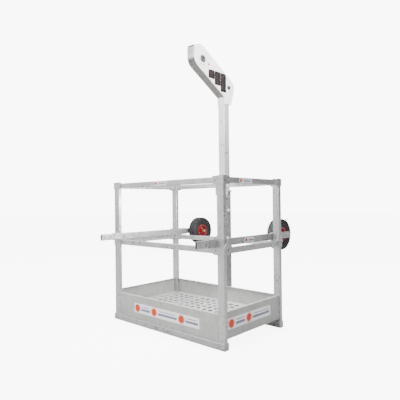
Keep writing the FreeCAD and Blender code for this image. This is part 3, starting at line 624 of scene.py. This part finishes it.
def raise_tread(piece, base_radius, depth, steps):
    """Lifts every other block of the crown's ribs, staggered from rib to rib."""
    activate(piece)
    bpy.ops.object.mode_set(mode="EDIT")
    bpy.ops.mesh.select_mode(type="FACE")
    bpy.ops.mesh.select_all(action="DESELECT")
    bpy.ops.object.mode_set(mode="OBJECT")
    for face in piece.data.polygons:
        along = face.center.x
        out = math.hypot(face.center.y, face.center.z)
        sideways = abs(face.normal.x) > 0.8
        if out < base_radius - depth or abs(along) > TREAD_EDGE or sideways:
            continue
        turn = math.atan2(face.center.z, face.center.y) / (2 * math.pi) * steps
        rib = sum(abs(along) >= edge for edge in TREAD_RIB_EDGES)
        if rib == TREAD_SMOOTH_RIB:
            continue
        step = int(math.floor(turn)) + (rib if along > 0 else -rib)
        face.select = step % 3 != 0
    bpy.ops.object.mode_set(mode="EDIT")
    bpy.ops.mesh.extrude_region_shrink_fatten(TRANSFORM_OT_shrink_fatten={"value": depth})
    bpy.ops.object.mode_set(mode="OBJECT")


class BASKET_OT_tyres(bpy.types.Operator):
    """Block-tread tyres in place of the plain ones, with valve stems"""

    bl_idname = "basket.tyres"
    bl_label = "Tyres and valves"

    def execute(self, context):
        sizes = context.scene.basket_tyre
        low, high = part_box("tyre_right")
        radius = (high.z - low.z) / 2
        half_width = (high.x - low.x) / 2
        points = tyre_profile(radius, half_width, sizes.wall, sizes.tread_depth)
        master = drawn_profile("tyre_master", points + points[:1])
        spun((1, 0, 0), sizes.steps)
        base_radius = radius - sizes.tread_depth - TREAD_MARGIN
        raise_tread(master, base_radius, sizes.tread_depth, sizes.steps)
        bevelled(master, 0.0006, 1)
        smooth(master, 32)
        set_material(master, material("tyre_rubber"))
        for side in SIDES:
            tyre = master.copy()
            tyre.data = master.data.copy()
            tyre.name = "block_tyre_" + side
            bpy.context.collection.objects.link(tyre)
            tyre.location = middle_of("tyre_" + side)
            settle(tyre)
            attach(tyre, "wheel_" + side)
            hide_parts("tyre_" + side)
            self.valve(side, sizes.valve_length)
        bpy.data.objects.remove(master)
        return {"FINISHED"}

    def valve(self, side, length):
        """Valve stem on the rim's inner face, pointing to the cage's middle."""
        inward = 1 if side == "left" else -1
        middle = middle_of("tyre_" + side)
        points = [(0.0, 0.0), (0.0050, 0.0), (0.0045, 0.006), (0.0032, 0.009),
                  (0.0032, length - 0.010), (0.0040, length - 0.0095), (0.0040, length - 0.001),
                  (0.0034, length), (0.0, length)]
        valve = drawn_profile("valve_" + side, points)
        spun((0, 0, 1), VALVE_FACETS)
        valve.rotation_euler = (0, inward * math.pi / 2, 0)
        valve.location = middle + Vector((inward * VALVE_BASE_INSET,
                                          VALVE_SEAT_RADIUS * math.cos(VALVE_TURN),
                                          VALVE_SEAT_RADIUS * math.sin(VALVE_TURN)))
        settle(valve)
        smooth(valve, 40)
        set_material(valve, material("plug_black"))
        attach(valve, "wheel_" + side)


# ---- Labels ----------------------------------------------------------------------------------
def label_frame(axis):
    """Turns a label drawn in the XY plane so that it faces along -Y or +X."""
    upright = Matrix.Rotation(math.pi / 2, 4, "X")
    if axis == "front":
        return upright
    return Matrix.Rotation(math.pi / 2, 4, "Z") @ upright


def label_slab(width, height, thickness, place, colour, corner=0.003):
    """Rounded flat plate on the XY plane, its back on z = place.z."""
    clear_selection()
    bpy.ops.mesh.primitive_plane_add(size=1, location=place)
    slab = bpy.context.object
    slab.scale = (width, height, 1)
    settle(slab)
    bpy.ops.object.mode_set(mode="EDIT")
    bpy.ops.mesh.select_all(action="SELECT")
    bpy.ops.mesh.bevel(offset=corner, segments=4, affect="VERTICES")
    bpy.ops.mesh.select_all(action="SELECT")
    bpy.ops.mesh.extrude_region_move(TRANSFORM_OT_translate={"value": (0, 0, thickness)})
    bpy.ops.mesh.select_all(action="SELECT")
    bpy.ops.mesh.normals_make_consistent(inside=False)
    bpy.ops.object.mode_set(mode="OBJECT")
    set_material(slab, material(colour))
    return slab


def label_disc(radius, thickness, place, colour):
    clear_selection()
    bpy.ops.mesh.primitive_circle_add(vertices=48, radius=radius, fill_type="NGON", location=place)
    disc = bpy.context.object
    bpy.ops.object.mode_set(mode="EDIT")
    bpy.ops.mesh.select_all(action="SELECT")
    bpy.ops.mesh.extrude_region_move(TRANSFORM_OT_translate={"value": (0, 0, thickness)})
    bpy.ops.mesh.select_all(action="SELECT")
    bpy.ops.mesh.normals_make_consistent(inside=False)
    bpy.ops.object.mode_set(mode="OBJECT")
    settle(disc)
    set_material(disc, material(colour))
    return disc


def label_ring(outer, inner, thickness, place, colour):
    """Thin raised ring: a disc with its middle inset and taken out."""
    clear_selection()
    bpy.ops.mesh.primitive_circle_add(vertices=48, radius=outer, fill_type="NGON", location=place)
    ring = bpy.context.object
    bpy.ops.object.mode_set(mode="EDIT")
    bpy.ops.mesh.select_mode(type="FACE")
    bpy.ops.mesh.select_all(action="SELECT")
    bpy.ops.mesh.inset(thickness=outer - inner)
    bpy.ops.mesh.delete(type="FACE")
    bpy.ops.mesh.select_all(action="SELECT")
    bpy.ops.mesh.extrude_region_move(TRANSFORM_OT_translate={"value": (0, 0, thickness)})
    bpy.ops.mesh.select_all(action="SELECT")
    bpy.ops.mesh.normals_make_consistent(inside=False)
    bpy.ops.object.mode_set(mode="OBJECT")
    settle(ring)
    set_material(ring, material(colour))
    return ring


def signal_mark(radius, thickness, place):
    """Signal disc with a thin white ring near its rim: a plain mark without meaning."""
    disc = label_disc(radius, thickness, place, "label_signal")
    lift = Vector((0, 0, thickness))
    ring = label_ring(radius * 0.88, radius * 0.82, thickness, place + lift, "label_white")
    return [disc, ring]


def text_like_bars(width, height, thickness, place):
    """A thick and a thin bar where a label has its wording."""
    above = place + Vector((0, height * 0.20, 0))
    below = place - Vector((0, height * 0.10, 0))
    upper = label_slab(width * 0.86, height * 0.07, thickness, above, "label_dark", height * 0.02)
    lower = label_slab(width, height * 0.22, thickness, below, "label_dark", height * 0.05)
    return [upper, lower]


def place_label(pieces, name, facing, spot, body):
    label = joined(pieces, name)
    label.matrix_world = Matrix.Translation(spot) @ label_frame(facing)
    settle(label)
    bevelled(label, 0.00015, 1)
    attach(label, body)
    return label


class BASKET_OT_labels(bpy.types.Operator):
    """Generic label strips on the toe boards and rails"""

    bl_idname = "basket.labels"
    bl_label = "Labels"

    def execute(self, context):
        sizes = context.scene.basket_label
        self.thin = sizes.thickness
        self.front_strip(sizes)
        self.side_strip(sizes)
        self.small_labels()
        return {"FINISHED"}

    def strip(self, name, width, height, discs, bars, facing, spot, disc_radius):
        layer = self.thin / 2
        middle = Vector((0, 0, 0))
        pieces = [label_slab(width, height, self.thin, middle, "label_white", STRIP_CORNER)]
        for place in discs:
            pieces += signal_mark(disc_radius, layer, Vector((place, 0, self.thin)))
        for place, length in bars:
            pieces += text_like_bars(length, height, layer, Vector((place, 0, self.thin)))
        place_label(pieces, name, facing, spot, "cage")

    def front_strip(self, sizes):
        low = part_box("toe_board_front")[0]
        spot = Vector((FRONT_STRIP_SHIFT, low.y, low.z + FRONT_STRIP_LIFT))
        discs = (-0.316, -0.118, 0.180)
        bars = ((-0.218, 0.105), (0.030, 0.205), (0.282, 0.125))
        self.strip("label_front_strip", FRONT_STRIP_LENGTH, sizes.strip_height, discs, bars,
                   "front", spot, sizes.disc_radius)

    def side_strip(self, sizes):
        low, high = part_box("toe_board_right")
        middle = (low.y + high.y) / 2
        spot = Vector((high.x, middle - SIDE_STRIP_SHIFT, low.z + SIDE_STRIP_LIFT))
        discs = (-0.215, -0.018)
        bars = ((-0.117, 0.105), (0.128, 0.210))
        self.strip("label_side_strip", SIDE_STRIP_LENGTH, sizes.strip_height, discs, bars,
                   "side", spot, sizes.disc_radius)

    def small_labels(self):
        low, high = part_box("top_rail_front")
        spot = Vector((-0.015, low.y, (low.z + high.z) / 2))
        self.strip("label_top_rail", 0.136, SMALL_LABEL_HEIGHT, (-0.050,), ((0.016, 0.080),),
                   "front", spot, SMALL_DISC_RADIUS)
        low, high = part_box("top_rail_right")
        middle = (low.y + high.y) / 2
        spot = Vector((high.x, middle - 0.105, (low.z + high.z) / 2))
        self.strip("label_side_rail", 0.148, SMALL_LABEL_HEIGHT, (-0.056,), ((0.016, 0.080),),
                   "side", spot, SMALL_DISC_RADIUS)
        low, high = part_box("bar_right")
        cage_middle = middle_of("toe_board_right").y
        spot = Vector((high.x, cage_middle + 0.017, (low.z + high.z) / 2))
        self.strip("label_bar", 0.110, BAR_LABEL_HEIGHT, (-0.036,), ((0.018, 0.058),),
                   "side", spot, SMALL_DISC_RADIUS)
        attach(bpy.data.objects["label_bar"], "bar_right")


class BASKET_OT_head_labels(bpy.types.Operator):
    """Dark data plates and a small sticker on the head's side"""

    bl_idname = "basket.head_labels"
    bl_label = "Head plates"

    def execute(self, context):
        sizes = context.scene.basket_label
        thin = sizes.thickness
        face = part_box("head_plate_right")[1].x
        pin = middle_of("head_pin")
        middle = Vector((0, 0, 0))
        top = pin.z + DATA_PLATES_RISE
        for index, (ahead, height) in enumerate(DATA_PLATES):
            pieces = [label_slab(DATA_PLATE_WIDTH, height, thin, middle, "plate_dark", 0.004)]
            rows = int(height / DATA_ROW_PITCH)
            for row in range(1, rows):
                width = DATA_ROW_LONG if row % 3 else DATA_ROW_SHORT
                spot = Vector((-(DATA_ROW_SPAN - width) / 2, height / 2 - row * DATA_ROW_PITCH, thin))
                pieces.append(label_slab(width, DATA_ROW_HEIGHT, thin / 2, spot, "plate_print", 0.001))
            spot = Vector((face, pin.y - ahead, top - height / 2))
            place_label(pieces, "data_plate_" + "abc"[index], "side", spot, "mast")
        pieces = [label_slab(0.064, 0.036, thin, middle, "label_white", 0.004)]
        pieces += signal_mark(SMALL_DISC_RADIUS, thin / 2, Vector((-0.016, 0, thin)))
        spot = Vector((face, pin.y - 0.240, top + 0.038))
        place_label(pieces, "head_sticker", "side", spot, "mast")
        return {"FINISHED"}


# ---- Welds -----------------------------------------------------------------------------------
def weld_bead(start, end, radius, pitch):
    """Row of overlapping ripples from start to end."""
    start, end = Vector(start), Vector(end)
    run = end - start
    count = max(2, int(run.length / pitch))
    clear_selection()
    bpy.ops.mesh.primitive_uv_sphere_add(segments=8, ring_count=5, radius=radius,
                                         location=(0, 0, 0))
    bead = bpy.context.object
    bead.scale = (0.95, 1.0, 0.8)
    settle(bead)
    ripples = bead.modifiers.new("ripples", "ARRAY")
    ripples.use_relative_offset = False
    ripples.use_constant_offset = True
    ripples.constant_offset_displace = (run.length / count, 0, 0)
    ripples.count = count + 1
    apply_modifiers(bead)
    turn = run.to_track_quat("X", "Z").to_matrix().to_4x4()
    bead.matrix_world = Matrix.Translation(start) @ turn
    settle(bead)
    return bead


class BASKET_OT_welds(bpy.types.Operator):
    """Weld beads where the tubes and plates meet"""

    bl_idname = "basket.welds"
    bl_label = "Welds"

    def execute(self, context):
        sizes = context.scene.basket_weld
        runs = self.post_feet() + self.rail_ends() + self.board_stitches() + self.sleeve_runs()
        runs += self.holder_runs()
        self.group("welds_cage", runs, "cage", sizes)
        self.group("welds_mast", self.head_runs(), "mast", sizes)
        return {"FINISHED"}

    def group(self, name, runs, body, sizes):
        beads = [weld_bead(start, end, sizes.radius, sizes.pitch) for start, end in runs]
        whole = joined(beads, name)
        smooth(whole, 60)
        set_material(whole, material("weld_zinc"))
        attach(whole, body)

    def post_feet(self):
        """Around each post on top of its base rail."""
        runs = []
        for end in ("front", "rear"):
            for side in SIDES:
                low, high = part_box("post_" + end + "_" + side)
                for y in (low.y, high.y):
                    runs.append(((low.x + WELD_GAP, y, low.z), (high.x - WELD_GAP, y, low.z)))
                inner = high.x if side == "left" else low.x
                runs.append(((inner, low.y + 0.003, low.z), (inner, high.y - 0.003, low.z)))
        return runs

    def rail_ends(self):
        """Upright and level runs where each rail meets its posts, on the cage's inner side."""
        runs = []
        for level in ("top", "mid"):
            for end, inner in (("front", 1), ("rear", -1)):
                low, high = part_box(level + "_rail_" + end)
                y = high.y if inner > 0 else low.y
                for x in (low.x, high.x):
                    runs.append(((x, y, low.z + WELD_GAP), (x, y, high.z - WELD_GAP)))
                    runs.append(((x, low.y + WELD_GAP, low.z), (x, high.y - WELD_GAP, low.z)))
            for side, inner in (("left", 1), ("right", -1)):
                low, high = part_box(level + "_rail_" + side)
                x = high.x if inner > 0 else low.x
                for y in (low.y, high.y):
                    runs.append(((x, y, low.z + WELD_GAP), (x, y, high.z - WELD_GAP)))
                    runs.append(((low.x + WELD_GAP, y, low.z), (high.x - WELD_GAP, y, low.z)))
        return runs

    def board_stitches(self):
        """Stitches between the side boards and the posts, and along the front board's foot."""
        runs = []
        for side in SIDES:
            low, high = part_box("toe_board_" + side)
            x = low.x if side == "left" else high.x
            for y in (low.y, high.y):
                for share in STITCH_SHARES:
                    base = low.z + share * (high.z - low.z)
                    runs.append(((x, y, base), (x, y, base + STITCH)))
        low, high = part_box("toe_board_front")
        step = (high.x - low.x - 2 * FOOT_STITCH_MARGIN - STITCH) / (FOOT_STITCHES - 1)
        for index in range(FOOT_STITCHES):
            x = low.x + FOOT_STITCH_MARGIN + index * step
            runs.append(((x, low.y, low.z), (x + STITCH, low.y, low.z)))
        return runs

    def sleeve_runs(self):
        """Around the sleeve's foot, along its mounting plates and under its collar."""
        low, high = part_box("mast_sleeve")
        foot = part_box("sleeve_foot_plate")[1].z
        runs = [((low.x, low.y + 0.01, foot), (low.x, high.y - 0.005, foot)),
                ((high.x, low.y + 0.01, foot), (high.x, high.y - 0.005, foot)),
                ((low.x + 0.005, high.y, foot), (high.x - 0.005, high.y, foot))]
        plates_low, plates_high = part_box("sleeve_mounting_plates")
        y = plates_high.y
        for x in (low.x, high.x):
            runs.append(((x, y, plates_high.z - 0.100), (x, y, high.z - 0.015)))
            runs.append(((x, y, plates_low.z + 0.005), (x, y, plates_low.z + 0.050)))
        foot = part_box("sleeve_collar")[0].z
        for x in (low.x, high.x):
            runs.append(((x, low.y + CORNER_GAP, foot), (x, high.y - CORNER_GAP, foot)))
        runs.append(((low.x + CORNER_GAP, high.y, foot), (high.x - CORNER_GAP, high.y, foot)))
        return runs

    def holder_runs(self):
        """Along the foot of each bar holder on its middle rail."""
        runs = []
        for end in ("front", "rear"):
            low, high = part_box("bar_holders_" + end)
            rail_low, rail_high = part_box("mid_rail_" + end)
            start, stop = max(low.y, rail_low.y) + 0.002, min(high.y, rail_high.y) - 0.002
            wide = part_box("bar_right")[1].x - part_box("bar_right")[0].x + 0.009
            for x in (low.x + wide, high.x - wide):
                runs.append(((x, start, low.z), (x, stop, low.z)))
        return runs

    def head_runs(self):
        """Where the head's plates end on the mast."""
        runs = []
        tube_low, tube_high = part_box("mast_tube")
        for name, x in (("head_plate_left", tube_low.x), ("head_plate_right", tube_high.x)):
            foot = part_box(name)[0].z
            runs.append(((x, tube_low.y + CORNER_GAP, foot), (x, tube_high.y - CORNER_GAP, foot)))
        return runs


# ---- Stage -----------------------------------------------------------------------------------
def soft_light(name, place, target, size, power):
    clear_selection()
    bpy.ops.object.light_add(type="AREA", location=place)
    lamp = bpy.context.object
    lamp.name = name
    lamp.data.shape = "DISK"
    lamp.data.size = size
    lamp.data.energy = power
    lamp.rotation_euler = (Vector(target) - Vector(place)).to_track_quat("-Z", "Y").to_euler()
    return lamp


class BASKET_OT_stage(bpy.types.Operator):
    """Pale floor, soft light and camera"""

    bl_idname = "basket.stage"
    bl_label = "Stage"

    def execute(self, context):
        stage = context.scene.basket_stage
        clear_selection()
        bpy.ops.mesh.primitive_plane_add(size=60, location=(0, 0, -0.0005))
        floor = bpy.context.object
        floor.name = "studio_floor"
        paint = Shader("studio_floor")
        tone = paint.spread(paint.noise(0.8, 3.0), 0.3, 0.7, 0.985, 1.01)
        paint.link(paint.tint(stage.floor_colour, tone), paint.surface.inputs["Base Color"])
        paint.set(Roughness=0.85, Emission_Color=WHITE)
        path = paint.tree.nodes.new("ShaderNodeLightPath")
        glow = paint.combine("MULTIPLY", path.outputs["Is Camera Ray"], stage.floor_glow)
        paint.link(glow, paint.surface.inputs["Emission Strength"])
        set_material(floor, paint.material)

        context.scene.world = self.surroundings(stage)
        lamps = {}
        for name, place, target, size, share in LAMPS:
            lamps[name] = soft_light(name, place, target, size, stage.light_power * share)
        lamps["head_light"].data.spread = HEAD_LIGHT_SPREAD
        lamps["inner_light"].visible_camera = False

        clear_selection()
        bpy.ops.object.camera_add(location=stage.camera_place)
        camera = bpy.context.object
        camera.name = "studio_camera"
        turn = (Matrix.Rotation(stage.heading, 4, "Z")
                @ Matrix.Rotation(math.pi / 2 + stage.pitch, 4, "X")
                @ Matrix.Rotation(stage.roll, 4, "Z"))
        camera.matrix_world = Matrix.Translation(stage.camera_place) @ turn
        camera.data.sensor_width = 36.0
        camera.data.lens = stage.lens
        camera.data.clip_end = 100.0
        context.scene.camera = camera
        return {"FINISHED"}

    def surroundings(self, stage):
        """Soft box of light: bright to the left and above, dim to the right, white to the eye."""
        world = bpy.data.worlds.new("studio_world")
        world.use_nodes = True
        tree = world.node_tree
        coords = tree.nodes.new("ShaderNodeTexCoord")
        away = tree.nodes.new("ShaderNodeVectorMath")
        away.operation = "DOT_PRODUCT"
        away.inputs[1].default_value = stage.dim_way
        tree.links.new(coords.outputs["Generated"], away.inputs[0])
        side = tree.nodes.new("ShaderNodeMapRange")
        side.inputs["From Min"].default_value = -0.5
        side.inputs["From Max"].default_value = 0.5
        side.inputs["To Min"].default_value = stage.bright_side
        side.inputs["To Max"].default_value = stage.dim_side
        tree.links.new(away.outputs["Value"], side.inputs["Value"])
        path = tree.nodes.new("ShaderNodeLightPath")
        strength = tree.nodes.new("ShaderNodeMix")
        tree.links.new(path.outputs["Is Camera Ray"], strength.inputs["Factor"])
        tree.links.new(side.outputs["Result"], strength.inputs["A"])
        strength.inputs["B"].default_value = stage.backdrop
        tree.links.new(strength.outputs["Result"], tree.nodes["Background"].inputs["Strength"])
        tree.nodes["Background"].inputs["Color"].default_value = WHITE
        return world


# ---- Panel and registration ------------------------------------------------------------------
OPERATORS = (BASKET_OT_finishes, BASKET_OT_tyres, BASKET_OT_labels, BASKET_OT_head_labels,
             BASKET_OT_welds, BASKET_OT_stage)


class BASKET_PT_panel(bpy.types.Panel):
    """Lists the steps and their sizes"""

    bl_idname = "BASKET_PT_panel"
    bl_label = "Work Basket"
    bl_space_type = "VIEW_3D"
    bl_region_type = "UI"
    bl_category = "Work Basket"

    def draw(self, context):
        for operator in OPERATORS:
            self.layout.operator(operator.bl_idname, text=operator.bl_label)
        for name, group in SETTINGS.items():
            box = self.layout.box()
            box.label(text=group.__doc__)
            for field in group.__annotations__:
                box.prop(getattr(context.scene, name), field)


CLASSES = tuple(SETTINGS.values()) + OPERATORS + (BASKET_PT_panel,)


def register():
    for each in CLASSES:
        bpy.utils.register_class(each)
    for name, group in SETTINGS.items():
        setattr(bpy.types.Scene, name, bpy.props.PointerProperty(type=group))


def unregister():
    for name in SETTINGS:
        delattr(bpy.types.Scene, name)
    for each in reversed(CLASSES):
        bpy.utils.unregister_class(each)


def main():
    register()
    bpy.ops.basket.finishes()
    bpy.ops.basket.tyres()
    bpy.ops.basket.labels()
    bpy.ops.basket.head_labels()
    bpy.ops.basket.welds()
    bpy.ops.basket.stage()


if __name__ == "__main__":
    main()
